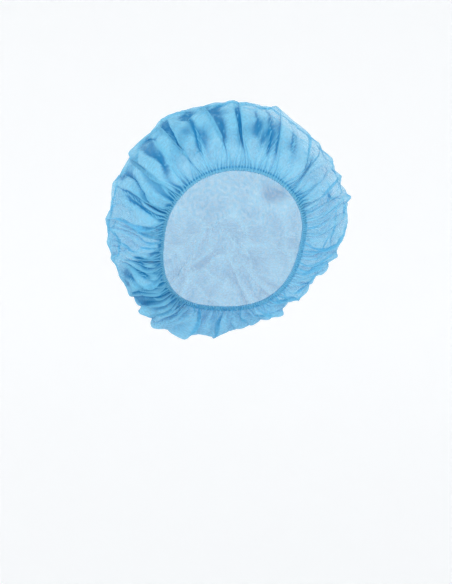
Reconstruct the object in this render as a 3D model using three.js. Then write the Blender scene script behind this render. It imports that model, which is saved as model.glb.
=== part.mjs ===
// Disposable bouffant cap: one round sheet of thin non-woven cloth, gathered all round
// onto an elastic that lies in its folded edge. It stands as it does when worn: the opening
// frames a face at the front, runs down behind the jaw on both sides and closes at the
// nape, and the cloth balloons out above and behind it.
//
// Millimetres. X is the wearer's left, Y points to the back, Z is up.
// The origin is the centre of the opening, where the elastic holds on the head.
import * as THREE from "three";

// The opening, measured along the hem's lower edge
const openingWidth = 131; // across the temples
const foreheadRise = 61; // from the origin up to the hem on the forehead
const napeDrop = 72; // from the origin down to the hem at the nape
const foreheadReach = 84; // from the origin forward to the hem on the forehead
const templeReach = 42; // from the origin forward to the hem at the temples
const napeReach = 70; // from the origin back to the hem at the nape
const openingSquareness = 2.7; // of the opening below the temples, where 2 is an ellipse

// The balloon, whose outline and folds are shares of these
const crownWidth = 242;
const crownRise = 134; // from the origin up to the top
const crownDrop = 94; // from the origin down to the lowest cloth
const crownBack = 132; // from the origin back to the rearmost cloth
const poleRise = 14; // height of the rearmost cloth over the origin

// The cloth, and the elastic in its folded hem
const clothWall = 1.2;
const elasticWidth = 2.6;
const elasticThickness = 1.2;
const clearance = 0.3; // between cloth and elastic

// Gathers, main folds and dents
const gatherCount = 50;
const gatherHeight = 3.4;
const gatherReach = 62; // how far from the hem the longest gathers run
const gatherStart = 12; // how far from the hem they stand at full height
const gatherValley = 0.25; // depth of the valleys between, as a share of the height
const gatherVariety = 0.28; // how much the gathers differ in height, and in reach
const foldHeight = 6.5;
const foldWidth = 16; // half the width of a main fold
const dentDepth = 9;
const dentWidth = 26; // half the width of a dent

// Fineness
const columnsPerGather = 3;
const rowCount = 14;
const rowBunching = 1.5; // above 1 draws the rows together at the hem
const elasticColumns = 75;
const meridianSteps = 72;

// The course of the cloth from the hem to its rearmost point, in even steps.
// out: share of the way from the hem's outline to the belly's. size: share of that outline.
// centre: share of the belly's height over the origin.
// backTop, backSide, backLow: share of the way back, on the forehead, temple and nape side.
const profile = [
  { at: "hem", out: 0.0, size: 1.0, centre: 0.0, backTop: 0.0, backSide: 0.0, backLow: 0.0 },
  { at: "brow", out: 0.36, size: 1.0, centre: 0.1, backTop: 0.012, backSide: -0.025, backLow: -0.04 },
  { at: "puff", out: 0.78, size: 1.0, centre: 0.75, backTop: 0.145, backSide: 0.1, backLow: 0.06 },
  { at: "belly", out: 1.0, size: 1.0, centre: 1.0, backTop: 0.42, backSide: 0.37, backLow: 0.28 },
  { at: "shoulder", out: 1.0, size: 0.88, centre: 1.0, backTop: 0.72, backSide: 0.68, backLow: 0.6 },
  { at: "back", out: 1.0, size: 0.54, centre: 0.92, backTop: 0.93, backSide: 0.92, backLow: 0.89 },
];

// The belly's outline from the front, from the wearer's left over the top and round.
// clock: degrees, 90 on top. share: of the ellipse of the crown's width and height.
const outline = [
  { clock: 0, share: 0.965 },
  { clock: 25, share: 0.945 },
  { clock: 50, share: 0.95 },
  { clock: 70, share: 0.97 },
  { clock: 92, share: 0.97 },
  { clock: 115, share: 0.95 },
  { clock: 138, share: 0.965 },
  { clock: 155, share: 0.935 },
  { clock: 180, share: 0.97 },
  { clock: 203, share: 0.98 },
  { clock: 222, share: 1.01 },
  { clock: 243, share: 1.1 },
  { clock: 265, share: 1.05 },
  { clock: 290, share: 0.975 },
  { clock: 315, share: 0.92 },
  { clock: 337, share: 0.92 },
];

// Main folds: raised creases that leave the hem and run over the balloon.
// hem and end: clock angle in degrees where the fold starts and ends. bow: how far it
// swings aside on the way. reach: share of the way to the rearmost point.
// high and wide: shares of foldHeight and foldWidth.
const folds = [
  { hem: 79, end: 85, bow: -3, reach: 0.52, high: 0.8, wide: 0.8 },
  { hem: 92, end: 95, bow: 2, reach: 0.6, high: 0.5, wide: 0.9 },
  { hem: 102, end: 110, bow: 4, reach: 0.5, high: 0.9, wide: 0.8 },
  { hem: 122, end: 119, bow: 5, reach: 0.55, high: 0.9, wide: 0.9 },
  { hem: 134, end: 138, bow: 6, reach: 0.6, high: 1.0, wide: 1.1 },
  { hem: 147, end: 143, bow: 13, reach: 0.62, high: 1.0, wide: 1.0 },
  { hem: 158, end: 172, bow: 2, reach: 0.6, high: 0.7, wide: 1.0 },
  { hem: 170, end: 186, bow: 2, reach: 0.66, high: 1.0, wide: 1.0 },
  { hem: 186, end: 207, bow: 2, reach: 0.66, high: 1.0, wide: 1.0 },
  { hem: 204, end: 221, bow: 2, reach: 0.7, high: 0.9, wide: 1.0 },
  { hem: 226, end: 236, bow: -2, reach: 0.75, high: 0.8, wide: 1.1 },
  { hem: 248, end: 250, bow: 3, reach: 0.8, high: 0.8, wide: 1.2 },
  { hem: 275, end: 272, bow: -4, reach: 0.85, high: 0.9, wide: 1.2 },
  { hem: 298, end: 295, bow: 4, reach: 0.8, high: 0.9, wide: 1.2 },
  { hem: 322, end: 317, bow: -3, reach: 0.75, high: 0.8, wide: 1.0 },
  { hem: 344, end: 338, bow: 2, reach: 0.66, high: 0.7, wide: 0.9 },
  { hem: 2, end: 357, bow: -2, reach: 0.66, high: 1.0, wide: 1.0 },
  { hem: 24, end: 20, bow: 3, reach: 0.62, high: 0.7, wide: 0.9 },
  { hem: 46, end: 42, bow: -4, reach: 0.6, high: 0.7, wide: 1.0 },
  { hem: 57, end: 64, bow: -3, reach: 0.56, high: 0.8, wide: 1.0 },
];

// Dents between the puffs. clock: degrees. along: share of the way to the rearmost point.
// deep, wide and long: shares of dentDepth, of dentWidth across the folds and along them.
const dents = [
  { clock: 14, along: 0.42, deep: 0.9, wide: 0.5, long: 1.0 },
  { clock: 52, along: 0.42, deep: 0.45, wide: 0.5, long: 1.0 },
  { clock: 88, along: 0.46, deep: 0.25, wide: 0.5, long: 0.9 },
  { clock: 112, along: 0.46, deep: 0.3, wide: 0.5, long: 0.9 },
  { clock: 127, along: 0.44, deep: 0.8, wide: 0.5, long: 1.2 },
  { clock: 150, along: 0.44, deep: 0.6, wide: 0.55, long: 1.2 },
  { clock: 197, along: 0.42, deep: 0.7, wide: 0.6, long: 1.0 },
  { clock: 216, along: 0.42, deep: 1.0, wide: 0.55, long: 1.3 },
  { clock: 238, along: 0.66, deep: 0.6, wide: 0.9, long: 1.2 },
  { clock: 262, along: 0.72, deep: 0.6, wide: 1.0, long: 1.3 },
  { clock: 286, along: 0.62, deep: 0.7, wide: 0.9, long: 1.0 },
  { clock: 309, along: 0.66, deep: 0.6, wide: 0.9, long: 1.2 },
  { clock: 330, along: 0.42, deep: 1.1, wide: 0.5, long: 1.3 },
  { clock: 347, along: 0.4, deep: 0.5, wide: 0.6, long: 1.0 },
  { clock: 30, along: 0.74, deep: 0.7, wide: 1.0, long: 0.9 },
  { clock: 75, along: 0.68, deep: 0.7, wide: 1.1, long: 1.0 },
  { clock: 118, along: 0.72, deep: 0.8, wide: 1.0, long: 0.8 },
  { clock: 165, along: 0.76, deep: 0.8, wide: 1.1, long: 0.9 },
];

const hemThickness = 2 * clothWall + 2 * clearance + elasticThickness;
const hemHeight = clothWall + elasticWidth + 2 * clearance;
const bellyRise = (crownRise - crownDrop) / 2;
const bellyHeight = (crownRise + crownDrop) / 2;
const fullTurn = 2 * Math.PI;
const radians = THREE.MathUtils.degToRad;
const mix = THREE.MathUtils.lerp;
const smooth = THREE.MathUtils.smoothstep;

// A value that changes smoothly round the opening, given on top, at the sides and below
function roundTheClock(top, side, low, clock) {
  const sine = Math.sin(clock);
  return side + ((top - low) / 2) * sine + ((top + low) / 2 - side) * sine * sine;
}

// One point of the hem's lower edge, at a clock angle
function hemPoint(clock) {
  const cosine = Math.cos(clock);
  const sine = Math.sin(clock);
  const power = openingSquareness;
  const corner = (Math.abs(cosine) ** power + Math.abs(sine) ** power) ** (-1 / power);
  const height = sine > 0 ? foreheadRise : napeDrop;
  return new THREE.Vector3(
    (openingWidth / 2) * cosine * (sine > 0 ? 1 : corner),
    roundTheClock(-foreheadReach, -templeReach, napeReach, clock),
    height * sine * (sine > 0 ? 1 : corner),
  );
}

// The outline's share of its ellipse at a clock angle
function outlineShare(clock) {
  const degrees = THREE.MathUtils.euclideanModulo(THREE.MathUtils.radToDeg(clock), 360);
  let next = outline.findIndex((row) => row.clock > degrees);
  if (next < 0) next = 0;
  const from = outline[(next + outline.length - 1) % outline.length];
  const to = outline[next];
  const end = to.clock > from.clock ? to.clock : to.clock + 360;
  return mix(from.share, to.share, smooth(degrees, from.clock, end));
}

// The smooth cloth's knots from the hem to the rearmost point, at a clock angle
function meridianKnots(clock) {
  const hem = hemPoint(clock);
  const share = outlineShare(clock);
  const bellyX = (crownWidth / 2) * share * Math.cos(clock);
  const bellyZ = bellyHeight * share * Math.sin(clock);
  const knots = profile.map((row) => {
    const back = roundTheClock(row.backTop, row.backSide, row.backLow, clock);
    return new THREE.Vector3(
      mix(hem.x, bellyX, row.out) * row.size,
      mix(hem.y, crownBack, back),
      row.centre * bellyRise + mix(hem.z, bellyZ, row.out) * row.size,
    );
  });
  const pole = new THREE.Vector3(0, crownBack, poleRise);
  const last = knots[knots.length - 1];
  const beyond = new THREE.Vector3(-last.x, last.y, 2 * poleRise - last.z);
  const before = knots[0].clone().multiplyScalar(2).sub(knots[1]);
  return [before, ...knots, pole, beyond];
}

// A smooth curve through evenly timed knots, whose first and last only steer it
function throughKnots(knots, share) {
  const spans = knots.length - 3;
  const span = Math.min(Math.floor(share * spans), spans - 1);
  const time = share * spans - span;
  const [a, b, c, d] = knots.slice(span, span + 4);
  const point = new THREE.Vector3();
  for (const axis of ["x", "y", "z"]) {
    const slopeB = (c[axis] - a[axis]) / 2;
    const slopeC = (d[axis] - b[axis]) / 2;
    const rise = c[axis] - b[axis];
    const square = 3 * rise - 2 * slopeB - slopeC;
    const cube = slopeB + slopeC - 2 * rise;
    point[axis] = b[axis] + time * (slopeB + time * (square + time * cube));
  }
  return point;
}

// The smooth meridian at a clock angle, with the length from the hem at each of its steps
function meridian(clock) {
  const knots = meridianKnots(clock);
  const points = [];
  const lengths = [0];
  for (let i = 0; i <= meridianSteps; i++) {
    points.push(throughKnots(knots, i / meridianSteps));
    if (i) lengths.push(lengths[i - 1] + points[i].distanceTo(points[i - 1]));
  }
  return { points, lengths, length: lengths[meridianSteps] };
}

// The point of a meridian at a length from the hem
function pointAtLength(line, distance) {
  let i = line.lengths.findIndex((length) => length >= distance);
  if (i < 0) i = meridianSteps;
  if (i === 0) i = 1;
  const from = line.lengths[i - 1];
  const share = (distance - from) / (line.lengths[i] - from);
  return line.points[i - 1].clone().lerp(line.points[i], share);
}

// Clock angles that divide the hem into equal lengths, starting at the nape
function evenClocks(count) {
  const fine = count * 8;
  const clockOf = (i) => -Math.PI / 2 + (fullTurn * i) / fine;
  const lengths = [0];
  for (let i = 1; i <= fine; i++) {
    lengths.push(lengths[i - 1] + hemPoint(clockOf(i)).distanceTo(hemPoint(clockOf(i - 1))));
  }
  return Array.from({ length: count }, (_, column) => {
    const wanted = (lengths[fine] * column) / count;
    const i = Math.max(1, lengths.findIndex((length) => length >= wanted));
    const share = (wanted - lengths[i - 1]) / (lengths[i] - lengths[i - 1]);
    return clockOf(i - 1 + share);
  });
}

// A round bump: 1 in the middle and 0 from one half-width out
function bump(offset) {
  return Math.abs(offset) >= 1 ? 0 : Math.cos((offset * Math.PI) / 2) ** 2;
}

// The turn from b to a, by the shorter way
function turnBetween(a, b) {
  const turn = (a - b) % fullTurn;
  return turn > Math.PI ? turn - fullTurn : turn < -Math.PI ? turn + fullTurn : turn;
}

// How far the main folds and dents move the cloth outwards
function foldLift(clock, along, radius) {
  let lift = 0;
  for (const fold of folds) {
    if (along >= fold.reach) continue;
    const share = along / fold.reach;
    const swing = turnBetween(radians(fold.end), radians(fold.hem)) * share;
    const path = radians(fold.hem) + swing + radians(fold.bow) * Math.sin(Math.PI * share);
    const across = (turnBetween(clock, path) * radius) / (foldWidth * fold.wide);
    const strength = smooth(share, 0, 0.25) * (1 - smooth(share, 0.7, 1));
    lift += foldHeight * fold.high * strength * bump(across);
  }
  for (const dent of dents) {
    const across = (turnBetween(clock, radians(dent.clock)) * radius) / (dentWidth * dent.wide);
    const down = ((along - dent.along) * crownWidth) / (dentWidth * dent.long);
    lift -= dentDepth * dent.deep * bump(across) * bump(down);
  }
  return lift;
}

// A number that wanders between 1 and twice the variety below it, from gather to gather
function varied(gather, pace) {
  return 1 - gatherVariety + gatherVariety * Math.sin(pace * gather);
}

// Gathers: raised over the first of each gather's columns, uneven in height round the hem
function gatherLift(column, distance) {
  const gather = Math.floor(column / columnsPerGather);
  const ridge = column % columnsPerGather === 0 ? 1 : -gatherValley;
  const reach = gatherReach * varied(gather, 1.7);
  const rise = smooth(distance, -hemHeight, gatherStart);
  const strength = rise * (1 - smooth(distance, reach / 3, reach));
  return gatherHeight * varied(gather, 2.4) * ridge * strength;
}

// The cloth's outer face as a grid of points, column by column, without the pole
function crownGrid(clocks) {
  const lines = clocks.map(meridian);
  const base = lines.map((line) =>
    Array.from({ length: rowCount }, (_, row) => {
      const share = (row / rowCount) ** rowBunching;
      return pointAtLength(line, mix(hemHeight, line.length, share));
    }),
  );
  const normals = gridNormals(base, new THREE.Vector3(0, crownBack, poleRise));
  return base.map((points, column) =>
    points.map((point, row) => {
      const share = (row / rowCount) ** rowBunching;
      const distance = share * (lines[column].length - hemHeight);
      const radius = Math.hypot(point.x, point.z - bellyRise);
      const lift = foldLift(clocks[column], share, radius) + gatherLift(column, distance);
      return point.clone().addScaledVector(normals[column][row], lift);
    }),
  );
}

// Outward directions at the points of a grid that closes round and ends in a pole
function gridNormals(grid, pole) {
  const count = grid.length;
  return grid.map((points, column) =>
    points.map((point, row) => {
      const left = grid[(column + count - 1) % count][row];
      const right = grid[(column + 1) % count][row];
      const lower = points[Math.max(row - 1, 0)];
      const upper = row + 1 < points.length ? points[row + 1] : pole;
      const round = right.clone().sub(left);
      const along = upper.clone().sub(lower);
      return along.cross(round).normalize();
    }),
  );
}

// A mesh geometry from its corner points and its triangles
function geometryOf(points, faces) {
  const geometry = new THREE.BufferGeometry();
  geometry.setAttribute(
    "position",
    new THREE.Float32BufferAttribute(points.flatMap((p) => [p.x, p.y, p.z]), 3),
  );
  geometry.setIndex(faces.flat());
  geometry.computeVertexNormals();
  return geometry;
}

// Places [rise, out] points of a section in the hem's own frame at a clock angle: rise
// along the cloth from the hem's lower edge, and out from the cloth's outer face.
function hemSection(clock, section) {
  const origin = hemPoint(clock);
  const step = radians(0.5);
  const tangent = hemPoint(clock + step).sub(hemPoint(clock - step)).normalize();
  const up = pointAtLength(meridian(clock), hemHeight).sub(origin);
  up.addScaledVector(tangent, -up.dot(tangent)).normalize();
  const outward = up.clone().cross(tangent);
  return section.map(([rise, out]) =>
    origin.clone().addScaledVector(up, rise).addScaledVector(outward, out),
  );
}

// The hem's fold from the cloth's outer face, under the elastic and up inside the cap
function hemFold() {
  const bend = clothWall / 2;
  const middle = -hemThickness / 2;
  return [
    [bend, 0],
    [0, middle],
    [bend, -hemThickness],
    [hemHeight, -hemThickness],
    [hemHeight, clothWall - hemThickness],
    [clothWall, clothWall - hemThickness],
    [clothWall, -clothWall],
  ];
}

// Joins columns of points that run round a ring, where each column has as many
function ringFaces(columns, closedColumns) {
  const size = columns[0].length;
  const faces = [];
  for (let column = 0; column < columns.length; column++) {
    const next = (column + 1) % columns.length;
    for (let row = 0; row < (closedColumns ? size : size - 1); row++) {
      const after = (row + 1) % size;
      const [a, b] = [column * size + row, column * size + after];
      const [c, d] = [next * size + row, next * size + after];
      faces.push([a, c, b], [b, c, d]);
    }
  }
  return faces;
}

// The crown: its columns run from the rearmost point over the outer face to the hem, round
// the hem's fold, and back over the inner face one wall further in
function crownGeometry() {
  const pole = new THREE.Vector3(0, crownBack, poleRise);
  const clocks = evenClocks(gatherCount * columnsPerGather);
  const outer = crownGrid(clocks);
  const normals = gridNormals(outer, pole);
  const columns = outer.map((points, column) => {
    const inner = points.map((point, row) =>
      point.clone().addScaledVector(normals[column][row], -clothWall),
    );
    return [...points.toReversed(), ...hemSection(clocks[column], hemFold()), ...inner];
  });
  const faces = ringFaces(columns, false);
  const points = columns.flat();
  const outerPole = points.push(pole) - 1;
  const innerPole = points.push(pole.clone().setY(crownBack - clothWall)) - 1;
  const size = columns[0].length;
  for (let column = 0; column < columns.length; column++) {
    const first = column * size;
    const next = ((column + 1) % columns.length) * size;
    faces.push([outerPole, next, first], [innerPole, first + size - 1, next + size - 1]);
  }
  return geometryOf(points, faces);
}

// The elastic: a flat band in the fold, clear of the cloth on every side
function elasticGeometry() {
  const low = clothWall + clearance;
  const outer = -clothWall - clearance;
  const inner = outer - elasticThickness;
  const section = [
    [low + elasticWidth, outer],
    [low, outer],
    [low, inner],
    [low + elasticWidth, inner],
  ];
  const columns = evenClocks(elasticColumns).map((clock) => hemSection(clock, section));
  return geometryOf(columns.flat(), ringFaces(columns, true));
}

// A named piece of the cap in its own material
function piece(name, geometry, color, roughness) {
  const material = new THREE.MeshStandardMaterial({ color, roughness, metalness: 0 });
  const mesh = new THREE.Mesh(geometry, material);
  mesh.name = name;
  return mesh;
}

const cap = new THREE.Group();
cap.add(piece("crown", crownGeometry(), 0x5fb4e5, 0.85));
cap.add(piece("elastic", elasticGeometry(), 0xe8eef2, 0.7));

export default cap;
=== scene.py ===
import math
import bpy
import numpy as np
from mathutils import Matrix, Vector, noise


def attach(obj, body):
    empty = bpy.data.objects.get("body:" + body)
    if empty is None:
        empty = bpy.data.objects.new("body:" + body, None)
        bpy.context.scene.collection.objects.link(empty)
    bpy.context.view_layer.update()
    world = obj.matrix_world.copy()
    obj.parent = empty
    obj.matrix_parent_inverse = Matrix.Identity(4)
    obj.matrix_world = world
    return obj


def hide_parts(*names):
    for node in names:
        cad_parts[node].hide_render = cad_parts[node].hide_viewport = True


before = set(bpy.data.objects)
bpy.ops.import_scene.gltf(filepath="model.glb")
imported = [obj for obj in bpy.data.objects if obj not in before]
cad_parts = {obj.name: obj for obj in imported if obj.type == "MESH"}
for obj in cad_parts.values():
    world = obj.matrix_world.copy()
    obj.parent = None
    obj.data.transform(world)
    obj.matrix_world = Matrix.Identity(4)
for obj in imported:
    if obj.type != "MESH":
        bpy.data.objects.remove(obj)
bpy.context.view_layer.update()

# Disposable bouffant cap: a gathered sheet of sheer blue non-woven on an elastic hem.
# Metres. As the cap is worn, X is its left, Y its back and Z up.

print("camera")
photoView = {
    "azimuth": -6.0,  # degrees round the cap, a little to its right as it is worn
    "elevation": 0.0,
    "roll": 2.0,  # the cap's top leans to the right of the picture
    "distance": 2.2,  # from the lens to the middle of the opening
    "width": 452,  # picture size in pixels
    "height": 584,
    "focal": 2243,  # focal length in pixels
    "sensor": 36,  # mm, across the longer side of the picture
    "originPixel": (229, 235),  # where the middle of the opening falls
}


def placeCamera(view):
    data = bpy.data.cameras.new("camera")
    camera = bpy.data.objects.new("camera", data)
    bpy.context.scene.collection.objects.link(camera)
    data.sensor_width = view["sensor"]
    data.lens = view["sensor"] * view["focal"] / view["height"]
    turn, lift = math.radians(view["azimuth"]), math.radians(view["elevation"])
    back = Vector((math.sin(turn) * math.cos(lift), -math.cos(turn) * math.cos(lift), math.sin(lift)))
    aside = math.atan((view["originPixel"][0] - view["width"] / 2) / view["focal"])
    above = math.atan((view["height"] / 2 - view["originPixel"][1]) / view["focal"])
    roll = Matrix.Rotation(math.radians(view["roll"]), 3, "Z")
    aim = Matrix.Rotation(-above, 3, "X") @ Matrix.Rotation(aside, 3, "Y")
    facing = (-back).to_track_quat("-Z", "Y").to_matrix()
    camera.rotation_mode = "QUATERNION"
    camera.rotation_quaternion = (facing @ roll @ aim).to_quaternion()
    camera.location = back * view["distance"]
    bpy.context.scene.camera = camera


placeCamera(photoView)

print("studio")
studio = {
    "floorDrop": 1.3,  # floor below the middle of the opening
    "radius": 3.6,  # the round wall, which stands behind every side that the cap is seen from
    "sweep": 1.1,  # radius of the curve between floor and wall
    "wallTop": 3.2,
    "middle": 0.05,  # radius of the one face in the middle of the floor
    "columns": 96,  # faces round the bowl
    "sweepSteps": 16,
    "paper": (0.93, 0.935, 0.94, 1),
    "paperRoughness": 0.9,
    "glow": 0.2,  # the paper is lit evenly from behind
    "layers": 48,  # of sheer cloth that a ray may pass
    "skyStrength": 0.34,
    "skyColour": (0.95, 0.975, 1.0, 1),
    # name, place, size across, watts
    "softboxes": [
        ("keyBox", (-1.3, -2.0, 1.7), 1.1, 23),
        ("fillBox", (1.9, -1.5, 0.5), 1.6, 5),
        ("topBox", (0.1, 0.0, 1.9), 1.4, 5),
        ("rimBox", (0.9, 1.3, 1.2), 0.9, 3),
    ],
}


def buildBackdrop(plan):
    # round floor, sweep and wall as one smooth bowl
    low, radius, sweep = -plan["floorDrop"], plan["radius"], plan["sweep"]
    columns, steps = plan["columns"], plan["sweepSteps"]
    course = [(plan["middle"], low)]
    for i in range(steps + 1):
        angle = math.pi / 2 * i / steps
        course.append((radius - sweep + sweep * math.sin(angle), low + sweep - sweep * math.cos(angle)))
    course.append((radius, plan["wallTop"]))
    turns = [2 * math.pi * i / columns for i in range(columns)]
    points = [(reach * math.cos(turn), reach * math.sin(turn), z) for reach, z in course for turn in turns]
    faces = [tuple(range(columns))]
    for row in range(len(course) - 1):
        for i in range(columns):
            here, after = row * columns + i, row * columns + (i + 1) % columns
            faces.append((here, after, after + columns, here + columns))
    mesh = bpy.data.meshes.new("backdrop")
    mesh.from_pydata(points, [], faces)
    mesh.shade_smooth()
    backdrop = bpy.data.objects.new("backdrop", mesh)
    bpy.context.scene.collection.objects.link(backdrop)
    paper = bpy.data.materials.new("studioPaper")
    paper.use_nodes = True
    shader = paper.node_tree.nodes["Principled BSDF"]
    shader.inputs["Base Color"].default_value = plan["paper"]
    shader.inputs["Roughness"].default_value = plan["paperRoughness"]
    shader.inputs["Emission Color"].default_value = plan["paper"]
    shader.inputs["Emission Strength"].default_value = plan["glow"]
    mesh.materials.append(paper)


def hangSoftboxes(plan):
    for name, place, size, watts in plan["softboxes"]:
        data = bpy.data.lights.new(name, "AREA")
        data.shape, data.size, data.energy = "DISK", size, watts
        lamp = bpy.data.objects.new(name, data)
        lamp.location = place
        lamp.rotation_mode = "QUATERNION"
        lamp.rotation_quaternion = (-Vector(place)).to_track_quat("-Z", "Y")
        bpy.context.scene.collection.objects.link(lamp)
    world = bpy.data.worlds.new("sky")
    world.use_nodes = True
    world.node_tree.nodes["Background"].inputs["Color"].default_value = plan["skyColour"]
    world.node_tree.nodes["Background"].inputs["Strength"].default_value = plan["skyStrength"]
    bpy.context.scene.world = world
    bpy.context.scene.view_settings.view_transform = "Standard"
    bpy.context.scene.cycles.transparent_max_bounces = plan["layers"]


buildBackdrop(studio)
hangSoftboxes(studio)

print("materials")
clothFinish = {
    "deep": (0.003, 0.24, 0.52, 1),  # blue where much fibre lies
    "pale": (0.18, 0.67, 0.95, 1),  # where little does
    "paintedLight": (0.26, 0.73, 0.96, 1),  # painted highlight along the crests
    "tint": (0.84, 0.95, 1.0, 1),  # of the light that comes straight through
    "clear": 0.73,  # share of light that one thickness of the sheet lets straight through
    "glow": 0.28,  # share of the rest passed on through the cloth
    "cloudScale": 340,  # clouds of fibre, to the metre
    "cloudEdges": (0.36, 0.64),  # noise at which a cloud begins and stands full
    "thinnest": 0.75,  # thickness between the clouds
    "cloudThickness": 0.5,  # and what a full cloud adds to it
    "strandScale": 420,
    "strandEdges": (0.9, 1.9),
    "depthEdges": (0.5, 7.0),  # thicknesses at which the blue begins to deepen and is deepest
    "mottle": 0.2,  # how much clouds and strands change the blue
    # how much painted shade the valleys get, and how much painted highlight the crests get
    "valleyShade": 0.45,
    "crestLight": 0.75,
    "crestCover": 0.1,  # opacity that a crest adds
    "bondPitch": 0.0021,  # rows of bond points
    "bondTurn": 45,  # degrees between their rows and the cloth's own
    "bondEdges": (0.18, 0.42),  # of a dimple, in shares of the pitch
    "bondRelief": 0.5,
    "strandRelief": 0.8,
    "bump": 0.2,
    "bumpDepth": 0.0002,
    "roughness": 0.7,
    "sheen": 0.12,
    "sheenRoughness": 0.45,
    "shine": 0.3,
}


class Graph:  # short ways to add nodes to one material
    def __init__(self, name):
        self.material = bpy.data.materials.new(name)
        self.material.use_nodes = True
        self.tree = self.material.node_tree
        self.shader = self.tree.nodes["Principled BSDF"]
        self.output = self.tree.nodes["Material Output"]

    def add(self, kind, settings=None, **sockets):
        node = self.tree.nodes.new(kind)
        for key, value in (settings or {}).items():
            setattr(node, key, value)
        for key, value in sockets.items():
            self.plug(node.inputs[key.replace("_", " ")], value)
        return node

    def plug(self, socket, value):
        if isinstance(value, bpy.types.NodeSocket):
            self.tree.links.new(value, socket)
        else:
            socket.default_value = value

    def maths(self, operation, first, second=0.0, third=0.0, clamp=False):
        node = self.tree.nodes.new("ShaderNodeMath")
        node.operation, node.use_clamp = operation, clamp
        for socket, value in zip(node.inputs, (first, second, third)):
            self.plug(socket, value)
        return node.outputs[0]

    def ramp(self, value, low, high):  # from 0 at low to 1 at high
        node = self.tree.nodes.new("ShaderNodeMapRange")
        node.interpolation_type = "SMOOTHSTEP"
        self.plug(node.inputs["Value"], value)
        node.inputs["From Min"].default_value = low
        node.inputs["From Max"].default_value = high
        return node.outputs[0]

    def blend(self, factor, first, second):
        node = self.tree.nodes.new("ShaderNodeMix")
        node.data_type = "RGBA"
        self.plug(node.inputs[0], factor)
        self.plug(node.inputs[6], first)
        self.plug(node.inputs[7], second)
        return node.outputs[2]


def nonwovenCloth(name, finish):
    # crest, valley and fibre come with the mesh: how the cloth bends, which paints highlight on the crests
    # and shade in the valleys, and how much of it is gathered
    graph = Graph(name)
    cloth = graph.add("ShaderNodeUVMap", {"uv_map": "flat"}).outputs[0]
    crest = graph.add("ShaderNodeAttribute", {"attribute_name": "crest"}).outputs["Fac"]
    paintedShade = graph.add("ShaderNodeAttribute", {"attribute_name": "paintedShade"}).outputs["Fac"]
    fibre = graph.add("ShaderNodeAttribute", {"attribute_name": "fibre"}).outputs["Fac"]
    clouds = graph.add("ShaderNodeTexNoise", Vector=cloth, Scale=finish["cloudScale"], Detail=3.0,
                       Roughness=0.6, Distortion=0.2).outputs[0]
    threads = graph.add("ShaderNodeTexNoise", {"noise_type": "RIDGED_MULTIFRACTAL"}, Vector=cloth,
                        Scale=finish["strandScale"], Detail=2.0, Roughness=0.5, Distortion=0.6).outputs[0]
    strands = graph.ramp(threads, *finish["strandEdges"])
    patches = graph.ramp(clouds, *finish["cloudEdges"])
    uneven = graph.maths("MULTIPLY_ADD", patches, finish["cloudThickness"], finish["thinnest"])
    thickness = graph.maths("MULTIPLY", fibre, uneven)
    depth = graph.ramp(fibre, *finish["depthEdges"])
    bare = graph.maths("SUBTRACT", 1.0, graph.maths("ADD", patches, strands))
    mottled = graph.maths("ADD", depth, graph.maths("MULTIPLY", bare, finish["mottle"]))
    # painted shade in the valleys deepens the blue, and painted highlight on the crests lightens it
    shade = graph.maths("ADD", mottled, graph.maths("MULTIPLY", paintedShade, finish["valleyShade"]), clamp=True)
    blue = graph.blend(shade, finish["pale"], finish["deep"])
    colour = graph.blend(graph.maths("MULTIPLY", crest, finish["crestLight"]), blue, finish["paintedLight"])
    passed = graph.maths("POWER", finish["clear"], thickness)
    full = graph.maths("ADD", 1.0, graph.maths("MULTIPLY", crest, finish["crestCover"]))
    opacity = graph.maths("SUBTRACT", full, passed, clamp=True)
    # bond points: small dimples in staggered rows
    turned = graph.add("ShaderNodeMapping", Vector=cloth)
    turned.inputs["Rotation"].default_value = (0, 0, math.radians(finish["bondTurn"]))
    bonds = graph.add("ShaderNodeTexVoronoi", Vector=turned.outputs[0], Scale=1 / finish["bondPitch"],
                      Randomness=0.0).outputs["Distance"]
    dimples = graph.maths("MULTIPLY", graph.ramp(bonds, *finish["bondEdges"]), finish["bondRelief"])
    relief = graph.maths("ADD", dimples, graph.maths("MULTIPLY", threads, finish["strandRelief"]))
    bump = graph.add("ShaderNodeBump", Strength=finish["bump"], Distance=finish["bumpDepth"],
                     Height=relief).outputs[0]
    graph.plug(graph.shader.inputs["Base Color"], colour)
    graph.plug(graph.shader.inputs["Normal"], bump)
    graph.shader.inputs["Roughness"].default_value = finish["roughness"]
    graph.shader.inputs["Sheen Weight"].default_value = finish["sheen"]
    graph.shader.inputs["Sheen Roughness"].default_value = finish["sheenRoughness"]
    graph.shader.inputs["Specular IOR Level"].default_value = finish["shine"]
    through = graph.add("ShaderNodeBsdfTranslucent", Color=colour, Normal=bump).outputs[0]
    lit = graph.add("ShaderNodeMixShader", Fac=finish["glow"])
    graph.plug(lit.inputs[1], graph.shader.outputs[0])
    graph.plug(lit.inputs[2], through)
    sheer = graph.add("ShaderNodeMixShader", Fac=opacity)
    graph.plug(sheer.inputs[1], graph.add("ShaderNodeBsdfTransparent", Color=finish["tint"]).outputs[0])
    graph.plug(sheer.inputs[2], lit.outputs[0])
    graph.plug(graph.output.inputs["Surface"], sheer.outputs[0])
    return graph.material


sheerBlue = nonwovenCloth("sheerBlueNonwoven", clothFinish)

print("cap form")
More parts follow.
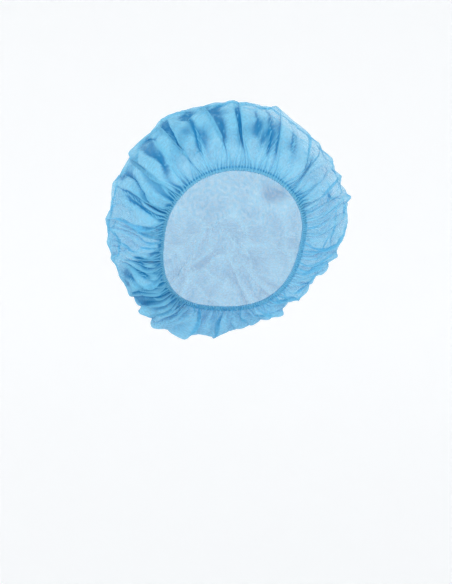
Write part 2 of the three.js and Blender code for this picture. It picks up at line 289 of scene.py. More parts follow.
# The smooth form under the folds. Its sizes and tables are the solid model's.
capForm = {
    "openingWidth": 0.131,
    "foreheadRise": 0.061,
    "napeDrop": 0.072,
    "foreheadReach": 0.084,
    "templeReach": 0.042,
    "napeReach": 0.070,
    "openingSquareness": 2.7,
    "crownWidth": 0.242,
    "crownRise": 0.134,
    "crownDrop": 0.094,
    "crownBack": 0.132,
    "poleRise": 0.014,
    "hemHeight": 0.0044,
    "flatWidth": 0.533,  # across the round sheet before it is gathered
    # out, size, centre, backTop, backSide, backLow: the course from hem to rearmost point
    "profile": [
        (0.0, 1.0, 0.0, 0.0, 0.0, 0.0),
        (0.36, 1.0, 0.1, 0.012, -0.025, -0.04),
        (0.78, 1.0, 0.75, 0.145, 0.1, 0.06),
        (1.0, 1.0, 1.0, 0.42, 0.37, 0.28),
        (1.0, 0.88, 1.0, 0.72, 0.68, 0.6),
        (1.0, 0.54, 0.92, 0.93, 0.92, 0.89),
    ],
    # clock, share: the belly's outline from the front
    "outline": [
        (0, 0.965), (25, 0.945), (50, 0.95), (70, 0.97),
        (92, 0.97), (115, 0.95), (138, 0.965), (155, 0.935),
        (180, 0.97), (203, 0.98), (222, 1.01), (243, 1.1),
        (265, 1.05), (290, 0.975), (315, 0.92), (337, 0.92),
    ],
    "clockSteps": 720,  # fineness of the form's lookup table
    "lengthSteps": 180,
    "curveSteps": 24,  # between two rows of the profile
    "hemSteps": 8,  # measured along the hem for each clock angle that is wanted
}


def smoothStep(value, low, high):
    share = np.clip((value - low) / (high - low), 0, 1)
    return share * share * (3 - 2 * share)


def roundTheClock(top, side, low, clock):
    sine = np.sin(clock)
    return side + (top - low) / 2 * sine + ((top + low) / 2 - side) * sine**2


def hemPoints(form, clock):
    cosine, sine = np.cos(clock), np.sin(clock)
    power = form["openingSquareness"]
    corner = (np.abs(cosine) ** power + np.abs(sine) ** power) ** (-1 / power)
    corner = np.where(sine > 0, 1, corner)
    height = np.where(sine > 0, form["foreheadRise"], form["napeDrop"])
    back = roundTheClock(-form["foreheadReach"], -form["templeReach"], form["napeReach"], clock)
    return np.stack([form["openingWidth"] / 2 * cosine * corner, back, height * sine * corner], -1)


def outlineShare(form, clock):
    degrees = np.degrees(clock) % 360
    rows = form["outline"]
    share = np.zeros_like(degrees)
    for (start, low), (end, high) in zip(rows, rows[1:] + [(360, rows[0][1])]):
        inside = (degrees >= start) & (degrees < end)
        mixed = low + (high - low) * smoothStep(degrees, start, end)
        share = np.where(inside, mixed, share)
    return share


def evenClocks(form, count):
    # clock angles that divide the hem into equal lengths, starting at its lowest point
    fine = -math.pi / 2 + np.linspace(0, 2 * math.pi, count * form["hemSteps"] + 1)
    steps = np.linalg.norm(np.diff(hemPoints(form, fine), axis=0), axis=1)
    lengths = np.concatenate([[0], np.cumsum(steps)])
    return np.interp(np.arange(count) / count * lengths[-1], lengths, fine)


def meridianTable(form):
    # the smooth cloth by hem share and by share of the way to the pole: places and directions
    clock = evenClocks(form, form["clockSteps"])
    hem = hemPoints(form, clock)
    share = outlineShare(form, clock)
    rise = (form["crownRise"] - form["crownDrop"]) / 2
    height = (form["crownRise"] + form["crownDrop"]) / 2
    bellyX = form["crownWidth"] / 2 * share * np.cos(clock)
    bellyZ = height * share * np.sin(clock)
    knots = []
    for out, size, centre, backTop, backSide, backLow in form["profile"]:
        back = roundTheClock(backTop, backSide, backLow, clock)
        x = (hem[:, 0] + (bellyX - hem[:, 0]) * out) * size
        y = hem[:, 1] + (form["crownBack"] - hem[:, 1]) * back
        z = centre * rise + (hem[:, 2] + (bellyZ - hem[:, 2]) * out) * size
        knots.append(np.stack([x, y, z], -1))
    pole = np.broadcast_to([0, form["crownBack"], form["poleRise"]], hem.shape)
    beyond = np.stack([-knots[-1][:, 0], knots[-1][:, 1], 2 * form["poleRise"] - knots[-1][:, 2]], -1)
    knots = [2 * knots[0] - knots[1], *knots, pole, beyond]
    course = []
    for i in range(1, len(knots) - 2):
        a, b, c, d = knots[i - 1 : i + 3]
        for time in np.arange(form["curveSteps"]) / form["curveSteps"]:
            slopeB, slopeC = (c - a) / 2, (d - b) / 2
            square = 3 * (c - b) - 2 * slopeB - slopeC
            cube = slopeB + slopeC - 2 * (c - b)
            course.append(b + time * (slopeB + time * (square + time * cube)))
    course.append(pole)
    course = np.stack(course, 1)
    steps = np.linalg.norm(np.diff(course, axis=1), axis=2)
    lengths = np.concatenate([np.zeros((len(clock), 1)), np.cumsum(steps, axis=1)], 1)
    wanted = np.linspace(0, 1, form["lengthSteps"] + 1)
    table = np.empty((len(clock), len(wanted), 3))
    for i in range(len(clock)):
        for axis in range(3):
            table[i, :, axis] = np.interp(wanted * lengths[i, -1], lengths[i], course[i, :, axis])
    around = np.roll(table, -1, 0) - np.roll(table, 1, 0)
    along = np.gradient(table, axis=1)
    outward = np.cross(along, around)
    outward[:, -1] = (0, 1, 0)
    outward /= np.linalg.norm(outward, axis=2)[:, :, None]
    sideways = around / np.maximum(np.linalg.norm(around, axis=2), 1e-9)[:, :, None]
    return {
        "clock": np.unwrap(clock),
        "points": table,
        "outward": outward,
        "sideways": sideways,
        "length": lengths[:, -1],
    }


def sampleTable(table, key, hemShare, along):
    # bilinear look-up, closed round the hem
    values = table[key]
    count, rows = values.shape[:2]
    column = (hemShare % 1) * count
    row = np.clip(along, 0, 1) * (rows - 1)
    c0, r0 = np.floor(column).astype(int) % count, np.minimum(row.astype(int), rows - 2)
    fc, fr = (column - np.floor(column))[:, None], (row - r0)[:, None]
    c1, r1 = (c0 + 1) % count, r0 + 1
    low = values[c0, r0] * (1 - fc) + values[c1, r0] * fc
    high = values[c0, r1] * (1 - fc) + values[c1, r1] * fc
    return low * (1 - fr) + high * fr


capTable = meridianTable(capForm)

print("crown")
crownPlan = {
    "cells": 156,  # squares across the sheet's grid while it is shaped, and twice as many after
    "hemBunching": 1.3,  # above 1 draws the rows together at the hem
    "tuck": 0.003,  # how far the sheet's edge reaches down into the hem
    "puffOut": 0.0036,  # how far the whole belly stands off the smooth form
    "foldHeight": 0.0045,
    "foldWidth": 0.016,  # half the width of a fold's foot
    "foldFade": 0.85,  # share of the folds' height lost by the time they reach the belly
    "pleatHeight": 0.0032,  # the narrow crest on the foot, which leans over its own cloth
    "pleatWidth": 0.0066,
    "pleatLean": 0.0082,
    "pleatFade": 0.6,  # shares of the crest's height and lean lost by the time it reaches the belly
    "leanFade": 0.65,
    "belly": (0.14, 0.34),  # shares of the way to the pole between which the belly is reached
    "foldStart": (0.02, 0.22),  # shares of a fold's reach where it begins and stands full
    "foldEnd": (0.75, 1),  # and where it begins to sink and is gone
    "highlightBandEdges": (0.15, 0.5),  # shares of the crest's height where its painted highlight band begins and is full
    "dentDepth": 0.008,
    "dentWidth": 0.026,
    # hem, end, bow: the clock angles that a fold follows; reach: where it ends, as a share of the
    # way to the pole; high, wide: against the sizes above; lean: which way its crest lies
    "folds": [
        (81, 86, 3, 0.42, 0.9, 1.0, 1.0), (92, 96, 2, 0.34, 0.6, 0.9, -0.8),
        (102, 106, 6, 0.44, 1.0, 0.9, -1.0), (119, 118, 4, 0.42, 0.9, 0.9, 0.9),
        (126, 122, 9, 0.40, 1.0, 1.0, -1.0), (140, 142, 7, 0.46, 1.0, 1.1, 1.0),
        (149, 150, 5, 0.44, 0.8, 0.9, -0.8), (158, 166, 2, 0.40, 0.7, 1.0, 0.8),
        (170, 184, 2, 0.42, 1.0, 1.0, 1.0), (186, 210, 3, 0.34, 1.0, 1.0, -0.7),
        (207, 226, 1, 0.36, 0.9, 1.0, 0.6), (228, 240, -2, 0.40, 0.8, 1.1, -0.6),
        (248, 252, 3, 0.44, 0.8, 1.2, 0.8), (275, 272, -4, 0.50, 0.8, 1.2, -0.9),
        (298, 295, 4, 0.46, 0.8, 1.2, 1.0), (322, 317, -3, 0.40, 0.8, 1.0, -0.9),
        (342, 336, 2, 0.38, 0.7, 0.9, 1.0), (358, 352, -2, 0.42, 0.9, 1.0, -0.9),
        (14, 8, 2, 0.44, 0.7, 0.9, 0.8), (30, 23, 0, 0.44, 0.8, 0.9, -0.9),
        (41, 47, -4, 0.44, 0.8, 1.0, 1.0), (51, 60, -1, 0.40, 0.9, 0.9, -0.9),
        (60, 70, 2, 0.44, 1.0, 1.0, 0.9),
    ],
    # clock, along, deep, wide, long: hollows in the cloth, as in the solid model
    "dents": [
        (14, 0.42, 0.9, 0.5, 1.0), (52, 0.42, 0.45, 0.5, 1.0), (88, 0.46, 0.25, 0.5, 0.9),
        (112, 0.46, 0.3, 0.5, 0.9), (127, 0.44, 0.8, 0.5, 1.2), (150, 0.44, 0.6, 0.55, 1.2),
        (197, 0.42, 0.7, 0.6, 1.0), (216, 0.42, 1.0, 0.55, 1.3), (238, 0.66, 0.6, 0.9, 1.2),
        (262, 0.72, 0.6, 1.0, 1.3), (286, 0.62, 0.7, 0.9, 1.0), (309, 0.66, 0.6, 0.9, 1.2),
        (330, 0.42, 1.1, 0.5, 1.3), (347, 0.4, 0.5, 0.6, 1.0), (30, 0.74, 0.7, 1.0, 0.9),
        (75, 0.68, 0.7, 1.1, 1.0), (118, 0.72, 0.8, 1.0, 0.8), (165, 0.76, 0.8, 1.1, 0.9),
    ],
    # count round the hem, height, lean, and the shares of the way to the pole where they begin,
    # stand full and end
    "gathers": [
        (139, 0.0028, 0.0015, 0.004, 0.03, 0.13),
        (83, 0.0032, 0.0022, 0.01, 0.07, 0.24),
        (53, 0.0036, 0.0028, 0.04, 0.14, 0.38),
        (27, 0.0040, 0.0020, 0.12, 0.30, 0.80),
    ],
    "unevenWaves": (3, 5, 8, 13),  # waves round the hem that space the gathers unevenly
    "unevenness": (0.25, 0.55),  # least and most, in gathers
    "unevenCount": 40,  # gathers round the hem for which that holds
    "swayWaves": (2, 7),  # waves round the hem that sway the gathers further up
    "sway": (1.0, 2.4),
    "lobeHeights": (0.4, 1.3),  # least and most, against the height in the table
    "lobeReaches": (0.6, 1.1),
    "browSmooth": 0.6,  # share of the gathers' height that is missing at the top of the opening
    "browSides": (0.5, 0.9),  # sines of the clock angle where that begins and is full
    "browTop": (0.12, 0.3),  # shares of the way to the pole over which it passes
    "creases": [(0.042, 0.0022), (0.024, 0.0012)],  # cell size and height of the crumple
    "creaseWidth": 0.18,  # half the width of a crease's ridge, in cells
    "creaseLevel": 0.35,  # share of its height by which the facets lie lower
    "creaseStart": (0.12, 0.4),  # shares of the way to the pole where the crumple begins and is full
    "creaseCalm": (0.6, 0.9),  # and where it falls to the next value
    "creaseRear": 0.5,
    "puffStart": (0.04, 0.22),  # where the belly begins to stand off, and does so in full
    "crimpHeight": 0.0004,
    "crimpEnd": (0.02, 0.09),  # shares of the way to the pole where the finest crimps fade and are gone
    "sharpBend": 520,  # bend, per metre, at which a sharp crest's painted highlight or a valley's painted shade counts in full
    "broadStep": 6,  # cells to each side across which a broad one is measured
    "broadRise": 0.0022,  # and its full height
    "evenPasses": 6,  # how often its height is evened out over the cells around
    "bandLight": 0.8,  # how strong the painted highlight on the crest of a fold is
    "fibreRange": (0.6, 2.4),  # least and most thicknesses of cloth in one gathered layer
    "browClear": 0.9,  # share of the backing and of the valleys' painted shade that is missing along the top of the hem
    "clearTop": (0.05, 0.16),  # shares of the way to the pole over which that passes
    "clearSides": (0.3, 0.8),  # sines of the clock angle where it begins and is full
    # x, z, half width, half height, amount: where the cloth is backed from within, which deepens its blue
    "backed": [(-0.018, 0.050, 0.090, 0.080, 8.5), (-0.058, -0.052, 0.044, 0.050, 6.0)],
    "backedEdges": (0.65, 1.1),  # where it begins to fade and is gone, in half widths
    "backedHollows": 0.4,  # how much more of it lies in the hollows, and less on the crests
    "rearFrom": (0.015, 0.065),  # the rear begins and is reached so far back
    "rearBacked": 1.5,  # the backing of the whole rear
    "rearFibre": 1.1,  # its thickness of cloth
    "rearRise": 0.35,  # shares of their painted highlight and shade that its broad crests and valleys and its sharp ones keep
    "rearBend": 0.5,
    "seed": 7,
}


def sheetGrid(cells):
    # squares mapped onto the disc: hem share and distance from the middle, 0 to 1
    line = np.linspace(-1, 1, cells + 1)
    across, up = np.meshgrid(line, line, indexing="ij")
    across, up = across.ravel(), up.ravel()
    wide = np.abs(across) > np.abs(up)
    radius = np.where(wide, across, up)
    ratio = np.divide(np.where(wide, up, across), radius, out=np.zeros_like(radius), where=radius != 0)
    angle = np.where(wide, ratio, 2 - ratio) * math.pi / 4
    angle = np.where(radius < 0, angle + math.pi, angle)
    row, column = np.divmod(np.arange(cells * cells), cells)
    corner = row * (cells + 1) + column
    faces = np.stack([corner, corner + cells + 1, corner + cells + 2, corner + 1], 1)
    return angle / (2 * math.pi), np.abs(radius), faces


def refineGrid(values, cells):
    # a smooth surface through the grid's points, with one more point between every two
    grid = values.reshape(cells + 1, cells + 1, -1)
    for axis in (0, 1):
        grid = np.moveaxis(grid, axis, 0)
        padded = np.concatenate([2 * grid[:1] - grid[1:2], grid, 2 * grid[-1:] - grid[-2:-1]])
        fine = np.empty((2 * len(grid) - 1, *grid.shape[1:]))
        fine[::2] = grid
        fine[1::2] = (9 * (grid[:-1] + grid[1:]) - padded[:-3] - padded[3:]) / 16
        grid = np.moveaxis(fine, 0, axis)
    return grid.reshape(-1, values.shape[-1])


def bendOfGrid(points, cells, step):
    # how far each point stands out from the chords across it, and how sharply; below 0 in a valley
    grid = points.reshape(cells + 1, cells + 1, 3)
    normal = np.cross(np.gradient(grid, axis=0), np.gradient(grid, axis=1))
    normal /= np.maximum(np.linalg.norm(normal, axis=2), 1e-12)[:, :, None]
    middle = grid.reshape(-1, 3).mean(0)
    if ((grid - middle) * normal).sum() < 0:
        normal = -normal
    rise, bend = np.zeros((2, *grid.shape[:2]))
    leastSpan = 2e-4  # a bend is never measured over less
    for axis in (0, 1):
        before, after = np.roll(grid, step, axis), np.roll(grid, -step, axis)
        out = ((2 * grid - before - after) * normal).sum(2)
        span = np.linalg.norm(after - before, axis=2) / 2
        rise += out / 2
        bend += out / np.maximum(span, leastSpan) ** 2
    inside = np.zeros(grid.shape[:2])
    inside[step:-step, step:-step] = 1
    return (rise * inside).ravel(), (bend * inside).ravel()


def evenOut(values, cells, passes):
    # each pass mixes every value with its neighbours'
    grid = values.reshape(cells + 1, cells + 1)
    for _ in range(passes):
        for axis in (0, 1):
            grid = (np.roll(grid, 1, axis) + 2 * grid + np.roll(grid, -1, axis)) / 4
    return grid.ravel()


def roundBump(offset):
    return np.where(np.abs(offset) < 1, np.cos(np.clip(offset, -1, 1) * math.pi / 2) ** 2, 0)


def turnBetween(first, second):
    return (first - second + math.pi) % (2 * math.pi) - math.pi


def foldLift(plan, clock, along, radius):
    # main folds and dents: how far the cloth stands out and is drawn aside, and where crests lie, which get
    # a painted highlight band
    lift = np.zeros_like(clock)
    aside = np.zeros_like(clock)
    band = np.zeros_like(clock)
    for hem, end, bow, reach, high, wide, lean in plan["folds"]:
        share = np.clip(along / reach, 0, 1)
        swing = turnBetween(math.radians(end), math.radians(hem)) * share
        path = math.radians(hem) + swing + math.radians(bow) * np.sin(math.pi * share)
        across = turnBetween(clock, path) * radius
        strength = high * smoothStep(share, *plan["foldStart"]) * (1 - smoothStep(share, *plan["foldEnd"]))
        belly = smoothStep(along, *plan["belly"])
        foot = roundBump(across / (plan["foldWidth"] * wide)) * (1 - plan["foldFade"] * belly)
        pleat = roundBump(across / plan["pleatWidth"])
        crest = plan["pleatHeight"] * pleat * (1 - plan["pleatFade"] * belly)
        lift += strength * (plan["foldHeight"] * foot + crest)
        aside += strength * lean * plan["pleatLean"] * pleat * (1 - plan["leanFade"] * belly)
        # the band marks the pleats' crests for a painted highlight
        band = np.maximum(band, strength * smoothStep(pleat, *plan["highlightBandEdges"]))
    width = capForm["crownWidth"]
    for at, place, deep, wide, long in plan["dents"]:
        across = turnBetween(clock, math.radians(at)) * radius / (plan["dentWidth"] * wide)
        down = (along - place) * width / (plan["dentWidth"] * long)
        lift -= plan["dentDepth"] * deep * roundBump(across) * roundBump(down)
    return lift, aside, band


def gatherLift(plan, hemShare, clock, along, random):
    # rounded lobes with sharp valleys between, which merge into fewer, wider ones further up
    lift = np.zeros_like(hemShare)
    aside = np.zeros_like(hemShare)
    meanLobe = 2 / math.pi
    brow = plan["browSmooth"] * smoothStep(np.sin(clock), *plan["browSides"])
    calm = 1 - brow * (1 - smoothStep(along, *plan["browTop"]))
    for count, height, lean, begin, full, end in plan["gathers"]:
        place = hemShare * count
        for waves in plan["unevenWaves"]:
            swing = random.uniform(*plan["unevenness"]) / waves * count / plan["unevenCount"]
            place += swing * np.sin(2 * math.pi * (waves * hemShare + random.random()))
        for waves in plan["swayWaves"]:
            swing = random.uniform(*plan["sway"]) * along
            place += swing * np.sin(2 * math.pi * (waves * hemShare + random.random()))
        index = np.floor(place + 0.5).astype(int) % count
        strong = random.uniform(*plan["lobeHeights"], count)[index]
        side = random.choice([-1, 1], count)[index]
        reach = end * random.uniform(*plan["lobeReaches"], count)[index]
        lobe = np.abs(np.cos(math.pi * ((place + 0.5) % 1 - 0.5)))
        rise = calm * smoothStep(along, begin, full)
        strength = rise * (1 - smoothStep(along, reach * 0.5, reach)) * strong
        lift += height * (lobe * strength - meanLobe * rise * (1 - smoothStep(along, end * 0.4, end)))
        aside += lean * side * lobe * strength
    return lift, aside


def creaseLift(plan, points, strength):
    # flat facets with sharp edges, as in thin cloth that has been folded in its packet
    lift = np.zeros(len(points))
    for cell, height in plan["creases"]:
        apart = Vector((cell * 1000, 3, 5))  # gives each size its own cells
        for i, point in enumerate(points):
            if strength[i] > 0.01:
                near, second = noise.voronoi(Vector(point) / cell + apart)[0][:2]
                lift[i] += height * (math.exp(-(second - near) / plan["creaseWidth"]) - plan["creaseLevel"])
    return lift * strength


def newMesh(name, points, faces, material, flat=None, values=None):
    mesh = bpy.data.meshes.new(name)
    mesh.from_pydata([tuple(p) for p in points], [], [tuple(int(i) for i in f) for f in faces])
    if flat is not None:
        layer = mesh.uv_layers.new(name="flat")
        index = np.empty(len(mesh.loops), dtype=np.int32)
        mesh.loops.foreach_get("vertex_index", index)
        layer.data.foreach_set("uv", np.asarray(flat, dtype=np.float32)[index].ravel())
    for key, value in (values or {}).items():
        attribute = mesh.attributes.new(key, "FLOAT", "POINT")
        attribute.data.foreach_set("value", np.asarray(value, dtype=np.float32))
    mesh.materials.append(material)
    mesh.shade_smooth()
    piece = bpy.data.objects.new(name, mesh)
    bpy.context.scene.collection.objects.link(piece)
    return piece


def placesOnCap(plan, form, table, hemShare, radius):
    # where the sheet's points lie between the hem and the pole
    share = np.arange(len(table["clock"]) + 1) / len(table["clock"])
    clocks = np.interp(hemShare % 1, share, np.append(table["clock"], table["clock"][0] + 2 * math.pi))
    length = np.interp(hemShare % 1, share, np.append(table["length"], table["length"][0]))
    first = (form["hemHeight"] - plan["tuck"]) / length
    share = (1 - radius) ** plan["hemBunching"]
    along = first + (1 - first) * share
    return {"clock": clocks, "share": share, "along": along, "distance": along * length - form["hemHeight"]}


def shapeCrown(plan, form, table):
    random = np.random.default_rng(plan["seed"])
    hemShare, radius, faces = sheetGrid(plan["cells"])
    places = placesOnCap(plan, form, table, hemShare, radius)
    clocks, along = places["clock"], places["along"]
    points = sampleTable(table, "points", hemShare, along)
    outward = sampleTable(table, "outward", hemShare, along)
    sideways = sampleTable(table, "sideways", hemShare, along)
    reach = np.hypot(points[:, 0], points[:, 2] - (form["crownRise"] - form["crownDrop"]) / 2)
    folded, foldAside, band = foldLift(plan, clocks, along, reach)
    gathered, gatherAside = gatherLift(plan, hemShare, clocks, along, random)
    calmed = 1 - (1 - plan["creaseRear"]) * smoothStep(along, *plan["creaseCalm"])
    creased = creaseLift(plan, points, smoothStep(along, *plan["creaseStart"]) * calmed)
    lift = folded + gathered + creased + plan["puffOut"] * smoothStep(along, *plan["puffStart"])
    points = points + outward * lift[:, None] + sideways * (foldAside + gatherAside)[:, None]
    return newMesh("crown_rough", points, faces, sheerBlue), places["distance"], band


crimpPlan = {  # the finest gathers, which the crown and its hem share
    "count": 204,
    "shifts": [(9, 1.2, 0.3), (17, 0.9, 2.1), (31, 0.7, 4.4)],  # waves round the hem, swing, start
    "height": 0.78,
    "heightSwing": 0.3,
    "heightWaves": (23, 7),
    "heightStart": 1.3,
}


def crimpWave(plan, hemShare):
    # from about -1 in the grooves to 1 on the ridges, unevenly spaced
    phase = 2 * math.pi * plan["count"] * hemShare
    for waves, swing, start in plan["shifts"]:
        phase = phase + swing * np.sin(2 * math.pi * waves * hemShare + start)
    fast, slow = plan["heightWaves"]
    swing = plan["heightSwing"] * np.sin(2 * math.pi * fast * hemShare + plan["heightStart"])
    return np.cos(phase) * (plan["height"] + swing * np.sin(2 * math.pi * slow * hemShare))


def readPoints(mesh):
    flat = np.empty(len(mesh.vertices) * 3)
    mesh.vertices.foreach_get("co", flat)
    return flat.reshape(-1, 3)


puffPlan = {
    "frames": 16,
    "growth": 0.04,  # how much longer the cloth is cut than the form it starts from
    "pressure": 1.6,
    "mass": 0.05,
    "tension": 12,
    "shear": 4,
    "bending": 0.25,
    "steps": 5,
    "air": 3.0,
    "held": 0.006,  # cloth nearer to the hem than this stays where it is
    "free": 0.030,  # and cloth further off moves freely
    "reach": 0.008,  # the furthest that a point may move
}


def puffCloth(piece, plan, distance):
    # lets the oversize cloth buckle and puff out, then keeps the result as the mesh
    mesh = piece.data
    before = readPoints(mesh)
    held = 1 - smoothStep(distance, plan["held"], plan["free"])
    group = piece.vertex_groups.new(name="held")
    for i, weight in enumerate(held):
        if weight > 0.001:
            group.add([i], float(weight), "REPLACE")
    cloth = piece.modifiers.new("puff", "CLOTH")
    settings = cloth.settings
    settings.quality = plan["steps"]
    settings.mass = plan["mass"]
    settings.air_damping = plan["air"]
    settings.tension_stiffness = settings.compression_stiffness = plan["tension"]
    settings.shear_stiffness = plan["shear"]
    settings.bending_model = "ANGULAR"
    settings.bending_stiffness = plan["bending"]
    settings.use_pressure = True
    settings.uniform_pressure_force = plan["pressure"]
    settings.shrink_min = -plan["growth"]
    settings.vertex_group_mass = "held"
    settings.effector_weights.gravity = 0
    cloth.collision_settings.use_collision = False
    scene = bpy.context.scene
    cloth.point_cache.frame_start, cloth.point_cache.frame_end = 1, plan["frames"] + 1
    for step in range(1, plan["frames"] + 1):
        scene.frame_set(step)
    settled = piece.evaluated_get(bpy.context.evaluated_depsgraph_get())
    move = readPoints(settled.data) - before
    piece.modifiers.remove(cloth)
    piece.vertex_groups.remove(group)
    far = np.linalg.norm(move, axis=1)
    limit = plan["reach"] * np.tanh(far / plan["reach"]) / np.maximum(far, 1e-9)
    mesh.vertices.foreach_set("co", (before + move * limit[:, None]).ravel())
    mesh.update()
    scene.frame_set(1)
    print("puffed, furthest and mean in mm", (far.max() * 1000).round(1), (far.mean() * 1000).round(2))


def fibreOfGrid(plan, points, flat, cells):
    # how many thicknesses of the flat sheet are gathered into one layer here
    def areas(grid):
        first, second = np.gradient(grid, axis=0), np.gradient(grid, axis=1)
        return np.linalg.norm(np.cross(first, second), axis=2)

    shape = (cells + 1, cells + 1, 3)
    flat = np.concatenate([flat, np.zeros((len(flat), 1))], 1)
    ratio = areas(flat.reshape(shape)) / np.maximum(areas(points.reshape(shape)), 1e-9)
    return np.clip(ratio, *plan["fibreRange"]).ravel()


def backingOfPoints(plan, points, overBrow):
    # how many layers lie behind the cloth's front
    backing = np.zeros(len(points))
    for x, z, wide, high, amount in plan["backed"]:
        far = np.hypot((points[:, 0] - x) / wide, (points[:, 2] - z) / high)
        backing = np.maximum(backing, amount * (1 - smoothStep(far, *plan["backedEdges"])))
    return backing * (1 - plan["browClear"] * overBrow)


def finishCrown(plan, form, table, rough, band):
    # twice as many points, with the values that the cloth's material reads
    cells = 2 * plan["cells"]
    points = refineGrid(readPoints(rough.data), plan["cells"])
    hemShare, radius, faces = sheetGrid(cells)
    places = placesOnCap(plan, form, table, hemShare, radius)
    along = places["along"]
    crimp = plan["crimpHeight"] * crimpWave(crimpPlan, hemShare) * (1 - smoothStep(along, *plan["crimpEnd"]))
    points = points + sampleTable(table, "outward", hemShare, along) * crimp[:, None]
    turn, reach = 2 * math.pi * hemShare, form["flatWidth"] / 2 * (1 - places["share"])
    flat = np.stack([reach * np.cos(turn), reach * np.sin(turn)], 1)
    front = 1 - smoothStep(points[:, 1], *plan["rearFrom"])
    rise = evenOut(bendOfGrid(points, cells, plan["broadStep"])[0], cells, plan["evenPasses"])
    rise = rise / plan["broadRise"] * (plan["rearRise"] + (1 - plan["rearRise"]) * front)
    bend = bendOfGrid(points, cells, 1)[1] / plan["sharpBend"]
    bend = bend * (plan["rearBend"] + (1 - plan["rearBend"]) * front)
    overBrow = 1 - smoothStep(along, *plan["clearTop"])
    overBrow *= smoothStep(np.sin(places["clock"]), *plan["clearSides"])
    backing = backingOfPoints(plan, points, overBrow) * front + plan["rearBacked"] * (1 - front)
    band = np.clip(refineGrid(band[:, None], plan["cells"])[:, 0], 0, 1)
    fibre = fibreOfGrid(plan, points, flat, cells) * front + plan["rearFibre"] * (1 - front)
    values = {
        # painted highlight on sharp and broad crests and along the pleats' bands, painted shade in sharp and
        # broad valleys
        "crest": np.clip(np.maximum(np.maximum(bend, rise), plan["bandLight"] * band), 0, 1),
        "paintedShade": np.clip(-np.minimum(bend, rise), 0, 1) * (1 - plan["browClear"] * overBrow),
        "fibre": fibre * (1 + backing * (1 - plan["backedHollows"] * np.clip(rise, -1, 1))),
    }
    bpy.data.objects.remove(rough)
    return newMesh("crown_sheet", points, faces, sheerBlue, flat, values)


roughCrown, fromHem, pleatHighlight = shapeCrown(crownPlan, capForm, capTable)
puffCloth(roughCrown, puffPlan, fromHem)
crown = finishCrown(crownPlan, capForm, capTable, roughCrown, pleatHighlight)
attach(crown, "root")
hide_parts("crown")

print("hem")
hemPlan = {
    "columns": 1428,  # seven to each crimp
    "rows": 16,
    "height": 0.0048,
    "thickness": 0.0038,
    "topRoundness": 0.8,  # powers of the section's curve, where 1 is an ellipse and less is squarer
    "faceRoundness": 0.7,
    "crimpDepth": 0.00042,
    "scallop": 0.00030,  # wave of the lower edge
    "seamAt": 0.80,  # share of the height where it is stitched through
    "seamWidth": 0.1,
    "seamDepth": 0.00035,
    "edgeWidth": 0.1,  # share of the height that gets a painted shade line along the lower edge
    # painted highlight over the hem's face
    "paintedLight": 1.2,
    "crimpLight": 0.2,  # how strong the painted highlight on the ridges and the painted shade in the grooves are
    "fibre": 3.0,
    "flatStep": 0.0012,  # spacing of the section's points on the flat sheet
}


def hemAxes(form, table, clocks):
    # for each clock angle: the hem's lower edge, and its three directions
    origin = hemPoints(form, clocks)
    tangent = np.roll(origin, -1, 0) - np.roll(origin, 1, 0)
    tangent /= np.linalg.norm(tangent, axis=1)[:, None]
    shares = np.arange(len(clocks)) / len(clocks)
    length = np.interp(shares, np.arange(len(table["length"]) + 1) / len(table["length"]),
                       np.append(table["length"], table["length"][0]))
    up = sampleTable(table, "points", shares, form["hemHeight"] / length) - origin
    up -= tangent * (up * tangent).sum(1)[:, None]
    up /= np.linalg.norm(up, axis=1)[:, None]
    return origin, tangent, up, np.cross(up, tangent)


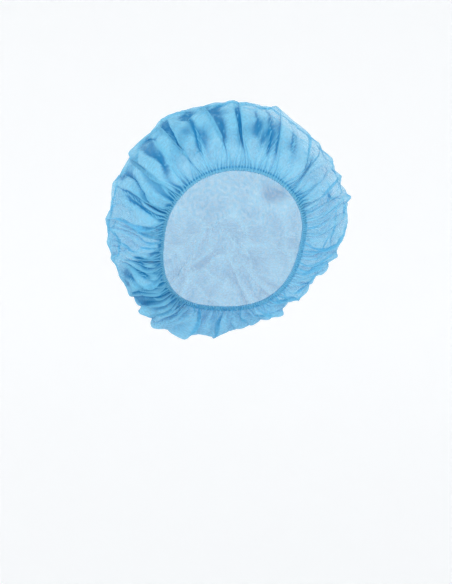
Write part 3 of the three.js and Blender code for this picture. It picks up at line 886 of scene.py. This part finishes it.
def buildHem(plan, form, table):
    columns, rows = plan["columns"], plan["rows"]
    origin, tangent, up, outward = hemAxes(form, table, evenClocks(form, columns))
    share = np.arange(columns) / columns
    crimp = crimpWave(crimpPlan, share)
    points, flat, crest, paintedShade = [], [], [], []
    for row in range(rows):
        angle = 2 * math.pi * row / rows
        face, top = math.cos(angle), math.sin(angle)  # face is 1 outside and -1 inside the cap
        rise = plan["height"] / 2 * (1 + math.copysign(abs(top) ** plan["topRoundness"], top))
        out = plan["thickness"] / 2 * (math.copysign(abs(face) ** plan["faceRoundness"], face) - 1)
        level = rise / plan["height"]
        seam = math.exp(-(((level - plan["seamAt"]) / plan["seamWidth"]) ** 2)) * face
        outs = out + plan["crimpDepth"] * crimp * face - plan["seamDepth"] * seam
        rises = rise - plan["scallop"] * crimp * (1 - level)
        points.append(origin + up * rises[:, None] + outward * outs[:, None])
        across = np.full(columns, row * plan["flatStep"])
        flat.append(np.stack([share * math.pi * form["flatWidth"], across], 1))
        # painted shade along the lower edge and in the crimps' grooves, painted highlight over the rest of
        # the face and on the crimps' ridges
        edgeShade = math.exp(-((level / plan["edgeWidth"]) ** 2))
        ridge = plan["crimpLight"] * crimp * abs(face)
        crest.append((plan["paintedLight"] + ridge) * (1 - edgeShade))
        paintedShade.append(np.clip(edgeShade - ridge, 0, 1))
    column, row = np.divmod(np.arange(columns * rows), rows)
    after, here, above = (column + 1) % columns, row * columns, (row + 1) % rows * columns
    faces = np.stack([here + column, here + after, above + after, above + column], 1)
    crest = np.concatenate(crest)
    values = {"crest": crest, "paintedShade": np.concatenate(paintedShade), "fibre": np.full(len(crest), plan["fibre"])}
    return newMesh("hem_casing", np.concatenate(points), faces, sheerBlue, np.concatenate(flat), values)


hem = buildHem(hemPlan, capForm, capTable)
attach(hem, "root")

print("elastic")
elasticFinish = {
    "yarn": (0.62, 0.80, 0.90, 1),
    "gap": (0.30, 0.47, 0.60, 1),
    "ribPitch": 0.0011,
    "ribUnit": 0.314,  # the wave texture's own pitch at scale 1
    "bump": 0.5,
    "bumpDepth": 0.0002,
    "roughness": 0.7,
}


def coveredElastic(finish):
    graph = Graph("coveredElastic")
    place = graph.add("ShaderNodeTexCoord").outputs["Object"]
    ribs = graph.add("ShaderNodeTexWave", {"wave_type": "BANDS", "bands_direction": "X"}, Vector=place,
                     Scale=finish["ribUnit"] / finish["ribPitch"], Distortion=1.5, Detail=2.0).outputs["Fac"]
    bump = graph.add("ShaderNodeBump", Strength=finish["bump"], Distance=finish["bumpDepth"], Height=ribs)
    graph.plug(graph.shader.inputs["Base Color"], graph.blend(ribs, finish["gap"], finish["yarn"]))
    graph.plug(graph.shader.inputs["Normal"], bump.outputs[0])
    graph.shader.inputs["Roughness"].default_value = finish["roughness"]
    return graph.material


def dressElastic():
    band = bpy.data.objects["elastic"]
    band.data.materials.clear()
    band.data.materials.append(coveredElastic(elasticFinish))


dressElastic()
